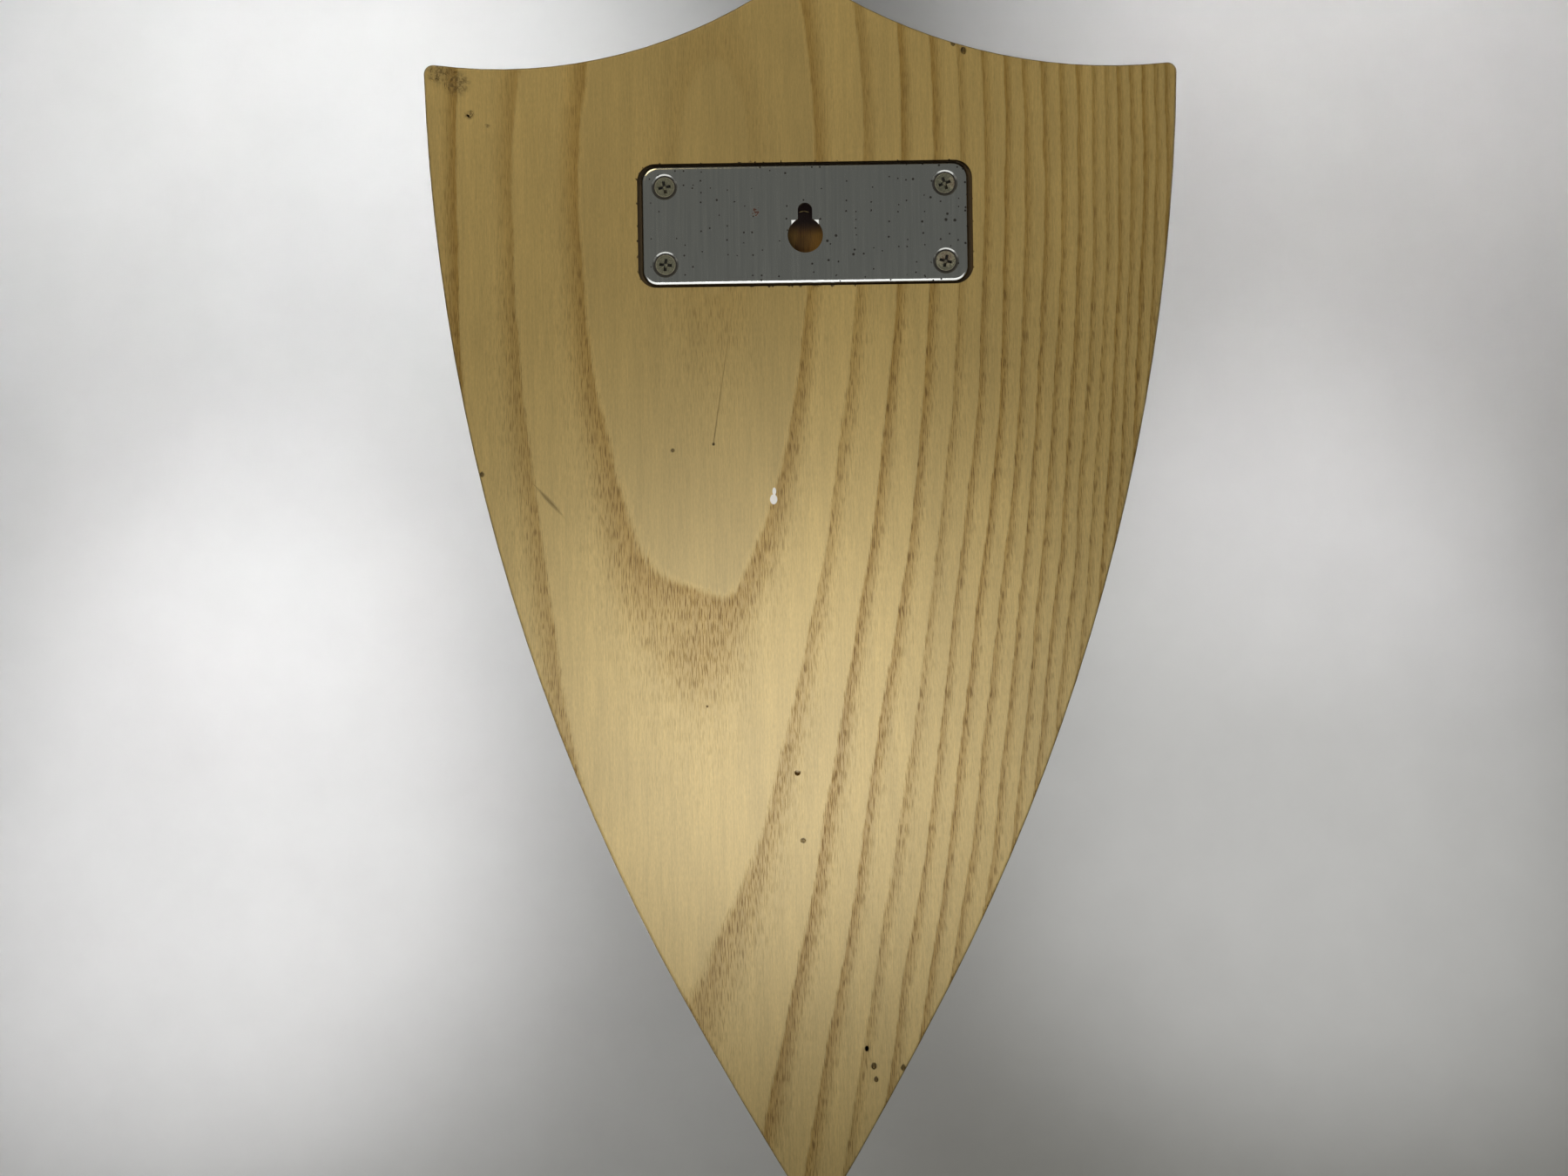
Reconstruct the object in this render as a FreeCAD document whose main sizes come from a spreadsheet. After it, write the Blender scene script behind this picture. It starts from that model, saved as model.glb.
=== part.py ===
import FreeCAD, Part
import math
import os
import re
import Sketcher

# Heraldic wall shield: a moulded ash board that hangs on a steel keyhole plate let into its back,
# and carries a blank brass presentation plate on its front.
#
# Frame: +Z up and +Y towards the wall, as the plaque hangs. The back of the board is the plane
# y = 0 and its front faces -Y. The origin is the hanging point: the centre of the round top end of
# the keyhole slot. Left and right are as seen from the back, so left is +X. Millimetres.

SIZES = [
    # Outline of the board. Heights and depths are from the hanging point.
    ("board_centre_x", 0.7, "board's centre line, left of the keyhole"),
    ("peak_height", 67.4, "top point of the shield"),
    ("tip_depth", 282.5, "bottom point of the shield"),
    ("left_shoulder_height", 42.4, "left corner"),
    ("right_shoulder_height", 39.9, "right corner, sawn a little lower"),
    ("left_top_radius", 138.0, "hollow curve from the peak to the left corner"),
    ("right_top_radius", 152.0, "hollow curve from the peak to the right corner"),
    ("flank_radius", 574.0, "long curve of each flank"),
    ("flank_reach", 105.0, "widest point of the long curve from the centre line"),
    ("flank_centre_height", 53.0, "centre of the long curve"),
    ("flank_end_depth", 216.8, "where the long curve runs into a flatter one"),
    # Section of the board, from the back to the front.
    ("slab_thickness", 9.0, "square edge behind the moulding"),
    ("board_thickness", 18.0, "whole board"),
    ("moulding_width", 7.5, "from the edge in to the foot of the ovolo"),
    ("ovolo_radius", 5.5, "rounded edge of the raised field"),
    ("cove_radius", 3.0, "hollow at the foot of the ovolo"),
    ("step_radius", 1.5, "eased front edge of the slab"),
    ("corner_radius", 2.6, "corners of the outline"),
    ("arris_radius", 0.9, "worn edge of the back"),
    # Keyhole plate and its recess.
    ("plate_width", 91.0, "keyhole plate"),
    ("plate_height", 33.5, "keyhole plate"),
    ("plate_thickness", 2.0, "keyhole plate"),
    ("plate_middle_depth", 3.9, "middle of the plate below the hanging point"),
    ("plate_corner_radius", 4.4, "keyhole plate"),
    ("plate_edge_radius", 1.2, "rolled edge of the plate's face"),
    ("plate_set_back", 0.2, "plate's face below the board's back"),
    ("recess_width", 93.2, "recess for the plate"),
    ("recess_height", 34.4, "recess for the plate"),
    ("recess_corner_radius", 5.0, "recess for the plate"),
    # Keyhole, and the hollow in the wood behind it.
    ("entry_diameter", 9.8, "round part, for the wall screw's head"),
    ("entry_centre_depth", 7.0, "round part's centre below the hanging point"),
    ("slot_width", 4.0, "narrow part, for the wall screw's shank"),
    ("guide_width", 7.6, "bevelled shoulders beside the neck"),
    ("guide_top_depth", 2.8, "top of the bevel below the hanging point"),
    ("guide_leg", 1.5, "leg of the 45 degree bevel"),
    ("hollow_width", 18.0, "hollow in the wood"),
    ("hollow_height", 21.0, "hollow in the wood"),
    ("hollow_middle_depth", 4.5, "middle of the hollow below the hanging point"),
    ("hollow_corner_radius", 8.0, "hollow in the wood"),
    ("hollow_floor_depth", 9.5, "hollow's floor below the board's back"),
    # Hanger screws: 3 x 14 countersunk wood screws.
    ("screw_spacing_x", 78.0, "across the plate"),
    ("screw_spacing_z", 21.6, "up the plate"),
    ("screw_sunk", 0.34, "screw head below the plate's face"),
    ("screw_length", 14.0, "overall"),
    ("screw_head_diameter", 6.2, "countersunk head"),
    ("screw_head_rim", 0.15, "thin cylindrical rim of the head"),
    ("screw_shank_diameter", 2.9, "plain shank under the head"),
    ("screw_shank_end", 3.4, "end of the plain shank below the head's top"),
    ("screw_core_diameter", 2.1, "root of the thread"),
    ("screw_crest_diameter", 3.0, "crest of the thread"),
    ("screw_pitch", 1.35, "thread"),
    ("screw_thread_root", 0.75, "width of the thread at its root"),
    ("screw_point_length", 2.6, "gimlet point"),
    ("cross_span", 3.5, "cross recess, tip to tip"),
    ("cross_arm", 0.85, "width of one arm at the top"),
    ("cross_depth", 1.25, "cross recess"),
    ("cross_taper", 9.0, "slope of the recess walls, in degrees"),
    ("tick_span", 4.6, "fine line between the arms, end to end"),
    ("tick_width", 0.18, "fine line between the arms"),
    ("tick_depth", 0.12, "fine line between the arms"),
    ("countersink_diameter", 7.2, "in the plate's face"),
    ("plate_hole_diameter", 3.3, "screw hole through the plate"),
    ("pilot_diameter", 3.04, "screw hole in the wood, as the thread leaves it"),
    ("pilot_depth", 15.0, "screw hole below the board's back"),
    ("pilot_mouth", 0.15, "mouth of the screw hole, crushed by the screw's head"),
    # Presentation plate and its pins.
    ("badge_scale", 0.46, "presentation plate's outline against the board's"),
    ("badge_origin_depth", 60.0, "its outline's own origin below the hanging point"),
    ("badge_thickness", 1.2, "brass sheet"),
    ("badge_corner_radius", 1.6, "corners of the sheet"),
    ("badge_bevel", 0.6, "bevelled edge of the face"),
    ("badge_line_inset", 3.2, "engraved border line from the edge"),
    ("badge_line_width", 0.6, "engraved border line"),
    ("badge_line_depth", 0.25, "engraved border line"),
    ("pin_peak_drop", 8.5, "top pin below the sheet's peak"),
    ("pin_tip_rise", 14.0, "bottom pin above the sheet's tip"),
    ("pin_shoulder_inset", 7.5, "side pin in and down from the sheet's corner"),
    ("pin_head_diameter", 3.2, "domed head"),
    ("pin_head_height", 1.0, "domed head"),
    ("pin_shank_diameter", 1.4, "shank"),
    ("pin_length", 9.0, "under the head"),
    ("pin_point_length", 1.8, "point"),
    ("pin_hole_diameter", 1.44, "in the sheet and the wood"),
    ("pin_hole_depth", 8.0, "in the wood"),
    # Old mark in the back.
    ("nail_hole_x", 4.4, "old nail hole, left of the keyhole"),
    ("nail_hole_drop", 156.5, "below the hanging point"),
    ("nail_hole_diameter", 1.7, "old nail hole"),
    ("nail_hole_depth", 5.0, "old nail hole"),
]

# Each hanger screw: its side and row on the plate, and how far its cross is turned, in degrees.
HANGER_SCREWS = [
    ("hanger_screw_upper_left", 1, 1, 10.0),
    ("hanger_screw_upper_right", -1, 1, 19.0),
    ("hanger_screw_lower_left", 1, -1, -6.0),
    ("hanger_screw_lower_right", -1, -1, -14.0),
]

NEAR = 1e-4
AXIS_Z = FreeCAD.Vector(0, 0, 1)
FACING_WALL = FreeCAD.Rotation(FreeCAD.Vector(1, 0, 0), -90)
FACING_ROOM = FreeCAD.Rotation(FreeCAD.Vector(1, 0, 0), 90)

doc = FreeCAD.newDocument("WallShield")
sheet = doc.addObject("Spreadsheet::Sheet", "Sizes")
for row, (alias, value, meaning) in enumerate(SIZES, start=1):
    sheet.set(f"A{row}", meaning)
    sheet.set(f"B{row}", str(value))
    sheet.setAlias(f"B{row}", alias)
doc.recompute()
ALIASES = {alias for alias, _, _ in SIZES}


# ---------------------------------------------------------------- sizes


def size(expression):
    """The value of an expression written in the sheet's aliases."""
    return float(sheet.evalExpression(expression))


def drive(thing, path, expression):
    """Bind a property to an expression written in the sheet's aliases."""
    def in_sheet(word):
        return f"Sizes.{word[0]}" if word[0] in ALIASES else word[0]

    thing.setExpression(path, re.sub(r"[a-z]\w*", in_sheet, expression))


# ---------------------------------------------------------------- bodies and sketches


def new_body(label):
    body = doc.addObject("PartDesign::Body", label)
    body.Label = label
    return body


def origin_item(body, role):
    return next(item for item in body.Origin.OriginFeatures if item.Role == role)


def new_sketch(body, name, role, forward=None):
    """An empty sketch on an origin plane of the body, moved forward along the plane's normal."""
    sketch = body.newObject("Sketcher::SketchObject", name)
    sketch.AttachmentSupport = (origin_item(body, role), [""])
    sketch.MapMode = "FlatFace"
    if forward:
        drive(sketch, "AttachmentOffset.Base.z", forward)
    return sketch


def dimension(sketch, kind, *where, to):
    """Add a dimension on geometry or points, and bind it to an expression."""
    index = sketch.addConstraint(Sketcher.Constraint(kind, *where, size(to)))
    name = f"{kind.lower()}_{index}"
    sketch.renameConstraint(index, name)
    drive(sketch, f"Constraints.{name}", to)


def join(sketch, kind, first, second):
    """Join two points, each a geometry number and a point number."""
    sketch.addConstraint(Sketcher.Constraint(kind, *first, *second))


def place_point(sketch, point, corner):
    """Hold a point at a pair of distances from the sketch's origin."""
    for kind, distance, axis in (("DistanceX", corner[0], -2), ("DistanceY", corner[1], -1)):
        if distance == "0":
            sketch.addConstraint(Sketcher.Constraint("PointOnObject", *point, axis))
        else:
            dimension(sketch, kind, -1, 1, *point, to=distance)


def spot(corner):
    """The point at a pair of expressions."""
    return FreeCAD.Vector(size(corner[0]), size(corner[1]), 0)


def add_circle(sketch, centre, diameter):
    circle = sketch.addGeometry(Part.Circle(spot(centre), AXIS_Z, size(diameter) / 2))
    place_point(sketch, (circle, 3), centre)
    dimension(sketch, "Diameter", circle, to=diameter)


def arc_between(start, end, radius):
    """The counter-clockwise arc of a radius from start to end, under half a turn."""
    chord = end - start
    to_centre = FreeCAD.Vector(-chord.y, chord.x, 0).normalize()
    rise = math.sqrt(radius**2 - (chord.Length / 2) ** 2)
    centre = (start + end) * 0.5 + to_centre * rise
    first = math.atan2(start.y - centre.y, start.x - centre.x)
    last = math.atan2(end.y - centre.y, end.x - centre.x)
    return Part.ArcOfCircle(Part.Circle(centre, AXIS_Z, radius), first, last)


def add_outline(sketch, corners):
    """A closed outline, given as (across, up, run) for each corner.

    run leads to the next corner: None is a straight line, and (radius, turn) an arc that turns
    left when turn is 1 and right when it is -1.
    """
    followers = corners[1:] + corners[:1]
    runs = []
    for corner, follower in zip(corners, followers):
        start, end, run = spot(corner), spot(follower), corner[2]
        if run is None:
            runs.append((sketch.addGeometry(Part.LineSegment(start, end)), 1, 2))
        elif run[1] > 0:
            runs.append((sketch.addGeometry(arc_between(start, end, size(run[0]))), 1, 2))
        else:
            runs.append((sketch.addGeometry(arc_between(end, start, size(run[0]))), 2, 1))
    for (number, first, last), corner, following in zip(runs, corners, runs[1:] + runs[:1]):
        place_point(sketch, (number, first), corner)
        join(sketch, "Coincident", (number, last), following[:2])
        if corner[2]:
            dimension(sketch, "Radius", number, to=corner[2][0])


def add_rounded_box(sketch, centre, width, height, radius):
    """A rectangle with rounded corners; the arguments are expressions."""
    across, up = centre
    left, right = f"{across} - {width} / 2", f"{across} + {width} / 2"
    low, high = f"{up} - {height} / 2", f"{up} + {height} / 2"
    turn = (radius, 1)
    corners = [
        (f"{left} + {radius}", low, None),
        (f"{right} - {radius}", low, turn),
        (right, f"{low} + {radius}", None),
        (right, f"{high} - {radius}", turn),
        (f"{right} - {radius}", high, None),
        (f"{left} + {radius}", high, turn),
        (left, f"{high} - {radius}", None),
        (left, f"{low} + {radius}", turn),
    ]
    add_outline(sketch, corners)


def add_cross(sketch, span, arm):
    """A cross of two equal bars about the sketch's origin."""
    far, near = f"{span} / 2", f"{arm} / 2"
    corner = [(far, near), (near, near), (near, far)]
    corners = []
    for across_sign, up_sign, flip in ((1, 1, False), (-1, 1, True), (-1, -1, False), (1, -1, True)):
        quarter = reversed(corner) if flip else corner
        corners += [(f"{across_sign} * {a}", f"{up_sign} * {b}", None) for a, b in quarter]
    add_outline(sketch, corners)


# ---------------------------------------------------------------- features


def settle(feature, before, grows):
    """Recompute, and stop if the feature did nothing or worked the wrong way."""
    doc.recompute()
    change = feature.Shape.Volume - before
    if (change > 0) != grows or abs(change) < NEAR:
        raise RuntimeError(f"{feature.Label} changed the volume by {change:.4f} mm3")


def pad(body, name, profile, length, reverse=False):
    before = body.Shape.Volume if body.Tip else 0.0
    feature = body.newObject("PartDesign::Pad", name)
    feature.Profile = (profile, [""])
    feature.Reversed = reverse
    drive(feature, "Length", length)
    settle(feature, before, grows=True)


def pocket(body, name, profile, length, reverse=False, both_ways=False, taper=None):
    before = body.Shape.Volume
    feature = body.newObject("PartDesign::Pocket", name)
    feature.Profile = (profile, [""])
    feature.Reversed = reverse
    feature.SideType = "Symmetric" if both_ways else "One side"
    drive(feature, "Length", length)
    if taper:
        drive(feature, "TaperAngle", taper)
    settle(feature, before, grows=False)


def revolve(body, name, profile):
    """Turn a profile about the body's Z axis."""
    feature = body.newObject("PartDesign::Revolution", name)
    feature.Profile = (profile, [""])
    feature.ReferenceAxis = (origin_item(body, "Z_Axis"), [""])
    feature.Angle = 360
    settle(feature, 0.0, grows=True)


def ease(body, kind, name, amount, test):
    """Fillet or chamfer the edges of the body so far that pass a test."""
    base = body.Tip
    edges = [f"Edge{number}" for number, edge in enumerate(base.Shape.Edges, start=1) if test(edge)]
    feature = body.newObject(f"PartDesign::{kind}", name)
    feature.Base = (base, edges)
    drive(feature, "Radius" if kind == "Fillet" else "Size", amount)
    settle(feature, base.Shape.Volume, grows=False)


def inset_outline(body, name, sketch, inset):
    """The face inside a sketch's outline, shrunk by a distance. It faces against the sketch."""
    binder = body.newObject("PartDesign::SubShapeBinder", name)
    binder.Support = [(sketch, ("",))]
    binder.MakeFace = True
    binder.OffsetJoinType = "Intersection"
    drive(binder, "Offset", f"-1 * ({inset})")
    doc.recompute()
    return binder


def lies_at(edge, y):
    return abs(edge.BoundBox.YMin - y) < NEAR and abs(edge.BoundBox.YMax - y) < NEAR


def is_sharp_corner(edge, joint_z):
    """True on an edge along Y, other than where two curves run on smoothly at joint_z."""
    first, last = edge.Vertexes[0].Point, edge.Vertexes[-1].Point
    along_y = math.hypot(first.x - last.x, first.z - last.z) < NEAR < abs(first.y - last.y)
    return along_y and abs(first.z - joint_z) > 1


def is_circle(edge, diameter):
    return isinstance(edge.Curve, Part.Circle) and abs(2 * edge.Curve.Radius - diameter) < NEAR


# ---------------------------------------------------------------- shield outline


def flank_x(height):
    """Distance of the long flank curve from the centre line, at a height."""
    rise = f"(({height}) - flank_centre_height)"
    return f"(flank_reach - flank_radius + sqrt(flank_radius ^ 2 - {rise} ^ 2))"


def shield_points(frame, sides):
    """Peak, shoulders, flank ends and tip, in a scaled and moved frame.

    sides names the sizes that the left and the right shoulder take.
    """
    scale, centre_x, origin_z = frame

    def point(sign, across, up):
        return (f"{centre_x} + {sign} * {scale} * {across}", f"{origin_z} + {scale} * {up}")

    low = "(-1 * flank_end_depth)"
    points = {"peak": point(1, "0", "peak_height"), "tip": point(1, "0", "(-1 * tip_depth)")}
    for sign, hand, side in ((1, "left", sides[0]), (-1, "right", sides[1])):
        height = f"{side}_shoulder_height"
        points[f"{hand}_shoulder"] = point(sign, flank_x(height), height)
        points[f"{hand}_flank_end"] = point(sign, flank_x(low), low)
    return points


def add_shield(sketch, frame, sides):
    """Hollow top curves, long flanks, and flatter curves that run on to the tip."""
    scale = frame[0]
    points = shield_points(frame, sides)
    halves = []
    for hand, side in zip(("left", "right"), sides):
        shoulder, flank_end = points[f"{hand}_shoulder"], points[f"{hand}_flank_end"]
        inner, outer = (1, 2) if hand == "left" else (2, 1)
        arcs = []
        for start, end, radius in (
            (points["peak"], shoulder, f"{scale} * {side}_top_radius"),
            (flank_end, shoulder, f"{scale} * flank_radius"),
            (points["tip"], flank_end, f"{scale} * 2 * flank_radius"),
        ):
            ends = (spot(start), spot(end)) if hand == "left" else (spot(end), spot(start))
            arcs.append(sketch.addGeometry(arc_between(*ends, size(radius))))
        top, flank, toe = arcs
        place_point(sketch, (top, outer), shoulder)
        place_point(sketch, (flank, inner), flank_end)
        join(sketch, "Coincident", (flank, outer), (top, outer))
        join(sketch, "Tangent", (toe, outer), (flank, inner))
        dimension(sketch, "Radius", top, to=f"{scale} * {side}_top_radius")
        dimension(sketch, "Radius", flank, to=f"{scale} * flank_radius")
        halves.append(((top, inner), (toe, inner)))
    (left_peak, left_tip), (right_peak, right_tip) = halves
    place_point(sketch, left_peak, points["peak"])
    place_point(sketch, left_tip, points["tip"])
    join(sketch, "Coincident", right_peak, left_peak)
    join(sketch, "Coincident", right_tip, left_tip)


BOARD_FRAME = ("1", "board_centre_x", "0")
BADGE_FRAME = ("badge_scale", "board_centre_x", "(-1 * badge_origin_depth)")
PLATE_MIDDLE = ("0", "-1 * plate_middle_depth")


def screw_spot(side, row):
    return (f"{side} * screw_spacing_x / 2", f"{row} * screw_spacing_z / 2 - plate_middle_depth")


def pin_spots():
    """Each presentation plate pin's name and centre."""
    points = shield_points(BADGE_FRAME, ("left", "left"))
    (peak_x, peak_z), (tip_x, tip_z) = points["peak"], points["tip"]
    spots = {
        "plate_pin_peak": (peak_x, f"{peak_z} - pin_peak_drop"),
        "plate_pin_tip": (tip_x, f"{tip_z} + pin_tip_rise"),
    }
    for hand, towards_middle in (("left", "-"), ("right", "+")):
        corner_x, corner_z = points[f"{hand}_shoulder"]
        across = f"{corner_x} {towards_middle} pin_shoulder_inset"
        spots[f"plate_pin_{hand}"] = (across, f"{corner_z} - pin_shoulder_inset")
    return spots


def place(body, rotation, x=None, y=None, z=None):
    """Turn a body and bind where it stands."""
    body.Placement = FreeCAD.Placement(FreeCAD.Vector(), rotation)
    for axis, distance in (("x", x), ("y", y), ("z", z)):
        if distance:
            drive(body, f"Placement.Base.{axis}", distance)


# ---------------------------------------------------------------- pieces


def make_shield_board():
    """Ash board: moulded on the front, with the recess, hollow and holes worked in its back."""
    body = new_body("shield_board")
    outline = new_sketch(body, "BoardOutline", "XZ_Plane")
    add_shield(outline, BOARD_FRAME, ("left", "right"))
    pad(body, "BoardBlank", outline, "board_thickness")
    joint_z = -size("flank_end_depth")
    ease(body, "Fillet", "BoardCorners", "corner_radius", lambda edge: is_sharp_corner(edge, joint_z))
    ease(body, "Fillet", "BackArris", "arris_radius", lambda edge: lies_at(edge, 0))

    recess = new_sketch(body, "PlateRecessOutline", "XZ_Plane")
    add_rounded_box(recess, PLATE_MIDDLE, "recess_width", "recess_height", "recess_corner_radius")
    pocket(body, "PlateRecess", recess, "plate_thickness + plate_set_back", reverse=True)

    hollow = new_sketch(body, "HollowOutline", "XZ_Plane")
    middle = ("0", "-1 * hollow_middle_depth")
    add_rounded_box(hollow, middle, "hollow_width", "hollow_height", "hollow_corner_radius")
    pocket(body, "HeadHollow", hollow, "hollow_floor_depth", reverse=True)

    pilots = new_sketch(body, "PilotCentres", "XZ_Plane")
    for _, side, row, _ in HANGER_SCREWS:
        add_circle(pilots, screw_spot(side, row), "pilot_diameter")
    pocket(body, "PilotHoles", pilots, "pilot_depth", reverse=True)
    recess_floor, pilot_diameter = -size("plate_thickness + plate_set_back"), size("pilot_diameter")
    ease(
        body,
        "Chamfer",
        "PilotMouths",
        "pilot_mouth",
        lambda edge: lies_at(edge, recess_floor) and is_circle(edge, pilot_diameter),
    )

    nail = new_sketch(body, "NailHoleCentre", "XZ_Plane")
    add_circle(nail, ("nail_hole_x", "-1 * nail_hole_drop"), "nail_hole_diameter")
    pocket(body, "NailHole", nail, "nail_hole_depth", reverse=True)

    pins = new_sketch(body, "PinHoleCentres", "XZ_Plane", forward="board_thickness")
    for centre in pin_spots().values():
        add_circle(pins, centre, "pin_hole_diameter")
    pocket(body, "PinHoles", pins, "pin_hole_depth")

    edge = f"board_centre_x + {flank_x('0')}"
    outside = f"{edge} + step_radius"
    foot = f"{edge} - moulding_width"
    step = "-1 * (slab_thickness - step_radius)"
    ovolo_start = "ovolo_radius - board_thickness"
    beyond = "-1 * (board_thickness + step_radius)"
    section = new_sketch(body, "MouldingSection", "XY_Plane")
    corners = [
        (outside, step, None),
        (edge, step, ("step_radius", -1)),
        (f"{edge} - step_radius", "-1 * slab_thickness", None),
        (f"{foot} + cove_radius", "-1 * slab_thickness", ("cove_radius", 1)),
        (foot, "-1 * (slab_thickness + cove_radius)", None),
        (foot, ovolo_start, ("ovolo_radius", -1)),
        (f"{foot} - ovolo_radius", "-1 * board_thickness", None),
        (f"{foot} - ovolo_radius", beyond, None),
        (outside, beyond, None),
    ]
    add_outline(section, corners)
    before = body.Shape.Volume
    moulding = body.newObject("PartDesign::SubtractivePipe", "Moulding")
    moulding.Profile = (section, [""])
    moulding.Spine = (outline, [""])
    moulding.Mode = "Standard"
    moulding.Transition = "Right corner"
    settle(moulding, before, grows=False)
    return body


def make_keyhole_plate():
    """Steel plate with a rolled edge, four countersunk holes and the keyhole."""
    body = new_body("keyhole_plate")
    outline = new_sketch(body, "PlateOutline", "XZ_Plane")
    add_rounded_box(outline, PLATE_MIDDLE, "plate_width", "plate_height", "plate_corner_radius")
    pad(body, "PlateBlank", outline, "plate_thickness")
    ease(body, "Fillet", "RolledEdge", "plate_edge_radius", lambda edge: lies_at(edge, 0))

    holes = new_sketch(body, "ScrewHoleCentres", "XZ_Plane")
    for _, side, row, _ in HANGER_SCREWS:
        add_circle(holes, screw_spot(side, row), "plate_hole_diameter")
    pocket(body, "ScrewHoles", holes, "plate_thickness", reverse=True)
    hole_diameter = size("plate_hole_diameter")
    ease(
        body,
        "Chamfer",
        "Countersinks",
        "(countersink_diameter - plate_hole_diameter) / 2",
        lambda edge: lies_at(edge, 0) and is_circle(edge, hole_diameter),
    )

    entry = new_sketch(body, "EntryCentre", "XZ_Plane")
    add_circle(entry, ("0", "-1 * entry_centre_depth"), "entry_diameter")
    pocket(body, "Entry", entry, "plate_thickness", reverse=True)

    slot = new_sketch(body, "SlotOutline", "XZ_Plane")
    left, right = "-1 * slot_width / 2", "slot_width / 2"
    corners = [
        (left, "-1 * entry_centre_depth", None),
        (right, "-1 * entry_centre_depth", None),
        (right, "0", (right, 1)),
        ("0", right, (right, 1)),
        (left, "0", None),
    ]
    add_outline(slot, corners)
    pocket(body, "Slot", slot, "plate_thickness", reverse=True)

    guide = new_sketch(body, "GuideSection", "YZ_Plane")
    bottom = "-1 * (guide_top_depth + guide_leg)"
    corners = [
        ("0", "-1 * guide_top_depth", None),
        ("-1 * guide_leg", bottom, None),
        ("0", bottom, None),
    ]
    add_outline(guide, corners)
    pocket(body, "GuideBevel", guide, "guide_width", both_ways=True)
    place(body, FreeCAD.Rotation(), y="-1 * plate_set_back")
    return body


def make_hanger_screw(label, side, row, turn):
    """Countersunk wood screw with a cross recess, a thread and a gimlet point. Head up +Z."""
    body = new_body(label)
    head, shank = "screw_head_diameter / 2", "screw_shank_diameter / 2"
    core, crest = "screw_core_diameter / 2", "screw_crest_diameter / 2"
    thread_start = "screw_point_length - screw_length"
    section = new_sketch(body, f"{label}_section", "XZ_Plane")
    corners = [
        ("0", "0", None),
        ("0", "-1 * screw_length", None),
        (core, thread_start, None),
        (core, f"{core} - {shank} - screw_shank_end", None),
        (shank, "-1 * screw_shank_end", None),
        (shank, f"{shank} - {head} - screw_head_rim", None),
        (head, "-1 * screw_head_rim", None),
        (head, "0", None),
    ]
    add_outline(section, corners)
    revolve(body, f"{label}_blank", section)

    ridge = new_sketch(body, f"{label}_ridge", "XZ_Plane")
    rooted = f"{core} - (screw_crest_diameter - screw_core_diameter) / 4"
    corners = [
        (rooted, f"{thread_start} - screw_thread_root / 2", None),
        (crest, thread_start, None),
        (rooted, f"{thread_start} + screw_thread_root / 2", None),
    ]
    add_outline(ridge, corners)
    before = body.Shape.Volume
    thread = body.newObject("PartDesign::AdditiveHelix", f"{label}_thread")
    thread.Profile = (ridge, [""])
    thread.ReferenceAxis = (origin_item(body, "Z_Axis"), [""])
    thread.Mode = "pitch-height-angle"
    drive(thread, "Pitch", "screw_pitch")
    drive(thread, "Height", "screw_length - screw_point_length - screw_shank_end - screw_thread_root")
    settle(thread, before, grows=True)

    cross = new_sketch(body, f"{label}_cross", "XY_Plane")
    add_cross(cross, "cross_span", "cross_arm")
    pocket(body, f"{label}_recess", cross, "cross_depth", taper="-1 * cross_taper")

    ticks = new_sketch(body, f"{label}_ticks", "XY_Plane")
    ticks.AttachmentOffset = FreeCAD.Placement(FreeCAD.Vector(), FreeCAD.Rotation(AXIS_Z, 45))
    add_cross(ticks, "tick_span", "tick_width")
    pocket(body, f"{label}_tick_lines", ticks, "tick_depth")

    across, up = screw_spot(side, row)
    rotation = FACING_WALL * FreeCAD.Rotation(AXIS_Z, turn)
    place(body, rotation, x=across, y="-1 * (plate_set_back + screw_sunk)", z=up)
    return body


def make_presentation_plate():
    """Blank brass shield with a bevelled edge and an engraved border line."""
    body = new_body("presentation_plate")
    outline = new_sketch(body, "BadgeOutline", "XZ_Plane", forward="badge_thickness")
    add_shield(outline, BADGE_FRAME, ("left", "left"))
    pad(body, "BadgeBlank", outline, "badge_thickness", reverse=True)
    joint_z = -size("badge_origin_depth + badge_scale * flank_end_depth")
    ease(body, "Fillet", "BadgeCorners", "badge_corner_radius", lambda edge: is_sharp_corner(edge, joint_z))
    face_y = -size("badge_thickness")
    ease(body, "Chamfer", "BadgeBevel", "badge_bevel", lambda edge: lies_at(edge, face_y))

    line_outside = inset_outline(body, "LineOutside", outline, "badge_line_inset")
    pocket(body, "LowerField", line_outside, "badge_line_depth", reverse=True)
    line_inside = inset_outline(body, "LineInside", outline, "badge_line_inset + badge_line_width")
    pad(body, "RaisedField", line_inside, "badge_line_depth")

    holes = new_sketch(body, "PinHolesInBadge", "XZ_Plane")
    for centre in pin_spots().values():
        add_circle(holes, centre, "pin_hole_diameter")
    pocket(body, "BadgePinHoles", holes, "badge_thickness", reverse=True)
    place(body, FreeCAD.Rotation(), y="-1 * board_thickness")
    return body


def make_plate_pin(label, centre):
    """Escutcheon pin with a domed head. Head up +Z."""
    body = new_body(label)
    head, shank = "pin_head_diameter / 2", "pin_shank_diameter / 2"
    dome = f"(({head}) ^ 2 + pin_head_height ^ 2) / (2 * pin_head_height)"
    section = new_sketch(body, f"{label}_section", "XZ_Plane")
    corners = [
        ("0", "-1 * pin_length", None),
        (shank, "pin_point_length - pin_length", None),
        (shank, "0", None),
        (head, "0", (dome, 1)),
        ("0", "pin_head_height", None),
    ]
    add_outline(section, corners)
    revolve(body, f"{label}_blank", section)
    across, up = centre
    place(body, FACING_ROOM, x=across, y="-1 * (board_thickness + badge_thickness)", z=up)
    return body


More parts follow.
